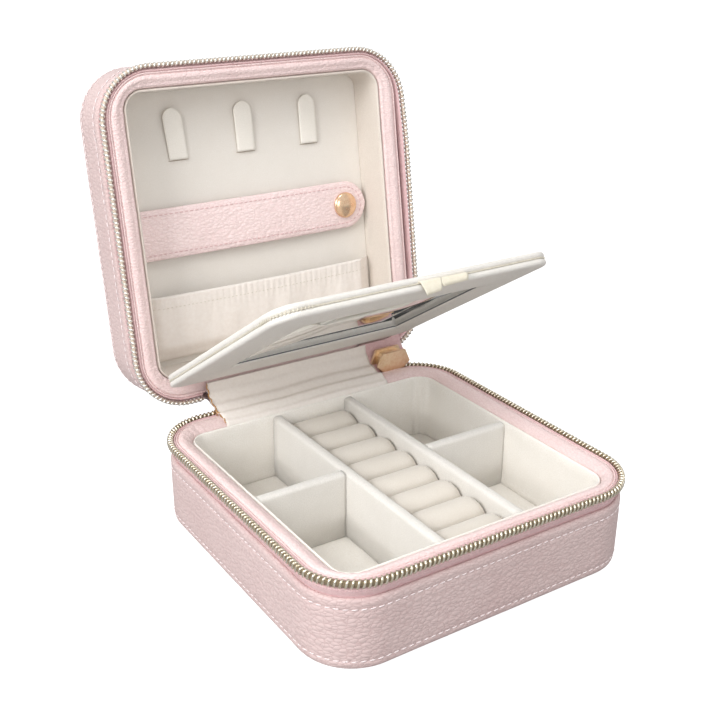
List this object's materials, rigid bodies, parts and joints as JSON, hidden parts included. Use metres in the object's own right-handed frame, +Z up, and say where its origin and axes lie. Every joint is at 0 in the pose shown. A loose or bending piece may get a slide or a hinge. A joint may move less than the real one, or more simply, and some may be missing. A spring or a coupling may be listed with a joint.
{
  "type": "zip-around travel jewelry case",
  "caption": "Square travel jewelry case standing open: divided tray with ring rolls, lid with strap, tabs and pocket, and a mirror flap between them.",
  "frame": {"origin": "centre of the base's flat underside, where the case rests", "axes": "+X to the right along the hinge, +Y from the front of the tray towards the hinge, +Z up; stored with the lid open"},
  "size_m": [0.1524, 0.2133, 0.1889],
  "materials": {
    "pink_leather": "satin",
    "zip_tape": "matte",
    "zip_teeth": "polished",
    "gold_hardware": "polished",
    "velvet": "matte",
    "suede": "matte",
    "lining_cloth": "matte",
    "cream_ribbon": "satin",
    "greyboard": "matte",
    "foam": "matte",
    "mirror_glass": "polished"
  },
  "bodies": {
    "base": {"base_bottom_panel": "pink_leather", "base_outer_wall": "pink_leather", "base_wall_board": "greyboard", "base_wall_foam": "foam", "base_wall_lining": "velvet", "base_floor_lining": "velvet", "base_zip_tape": "zip_tape", "base_zip_teeth": "zip_teeth", "base_padded_rim": "pink_leather", "long_divider_left": "velvet", "long_divider_right": "velvet", "cross_divider_left": "velvet", "cross_divider_right": "velvet", "ring_roll_1": "velvet", "ring_roll_2": "velvet", "ring_roll_3": "velvet", "ring_roll_4": "velvet", "ring_roll_5": "velvet", "ring_roll_6": "velvet", "ring_roll_7": "velvet", "ring_roll_8": "velvet", "zip_slider": "gold_hardware", "zip_end_stop": "gold_hardware", "leather_spine": "pink_leather", "hinge_lining": "lining_cloth"},
    "lid": {"lid_top_panel": "pink_leather", "lid_outer_wall": "pink_leather", "lid_wall_board": "greyboard", "lid_wall_foam": "foam", "lid_wall_lining": "suede", "lid_panel_lining": "suede", "lid_zip_tape": "zip_tape", "lid_zip_teeth": "zip_teeth", "lid_padded_rim": "pink_leather", "elastic_pocket": "lining_cloth", "snap_stud": "gold_hardware"},
    "mirror_flap": {"flap_top_board": "suede", "flap_mirror_frame": "suede", "mirror": "mirror_glass", "ribbon_tab": "cream_ribbon"},
    "strap": {"jewelry_strap": "pink_leather", "snap_cap": "gold_hardware", "snap_socket": "gold_hardware"},
    "tab_1": {"necklace_tab_1": "suede"},
    "tab_2": {"necklace_tab_2": "suede"},
    "tab_3": {"necklace_tab_3": "suede"},
    "pull": {"zip_pull": "gold_hardware"}
  },
  "joints": [
    {"name": "lid_hinge", "type": "hinge", "parent": "base", "child": "lid", "pos_m": [0, 0.0795, 0.0361], "axis": [1, 0, 0], "range_deg": [0, 99], "deforming": ["hinge_lining", "leather_spine"]},
    {"name": "flap_hinge", "type": "hinge", "parent": "lid", "child": "mirror_flap", "pos_m": [0, 0.08475, 0.05197], "axis": [1, 0, 0], "range_deg": [-66.5, 0]},
    {"name": "strap_hinge", "type": "hinge", "parent": "lid", "child": "strap", "pos_m": [-0.0615, 0.114, 0.1116], "axis": [0, -0.1564, -0.9877], "range_deg": [0, 6]},
    {"name": "tab_1_bend", "type": "hinge", "parent": "lid", "child": "tab_1", "pos_m": [-0.0342, 0.12122, 0.14289], "axis": [1, 0, 0], "range_deg": [0, 20], "stiffness_Nm_per_rad": 0.0002},
    {"name": "tab_2_bend", "type": "hinge", "parent": "lid", "child": "tab_2", "pos_m": [0, 0.12122, 0.14289], "axis": [1, 0, 0], "range_deg": [0, 20], "stiffness_Nm_per_rad": 0.0002},
    {"name": "tab_3_bend", "type": "hinge", "parent": "lid", "child": "tab_3", "pos_m": [0.0342, 0.12122, 0.14289], "axis": [1, 0, 0], "range_deg": [0, 20], "stiffness_Nm_per_rad": 0.0002},
    {"name": "pull_swing", "type": "hinge", "parent": "base", "child": "pull", "pos_m": [0.052, 0.0812, 0.0355], "axis": [1, 0, 0], "range_deg": [0, 50]}
  ],
  "couplings": [
    {"joint": "flap_hinge", "follows": "lid_hinge", "ratio": -0.6717}
  ]
}
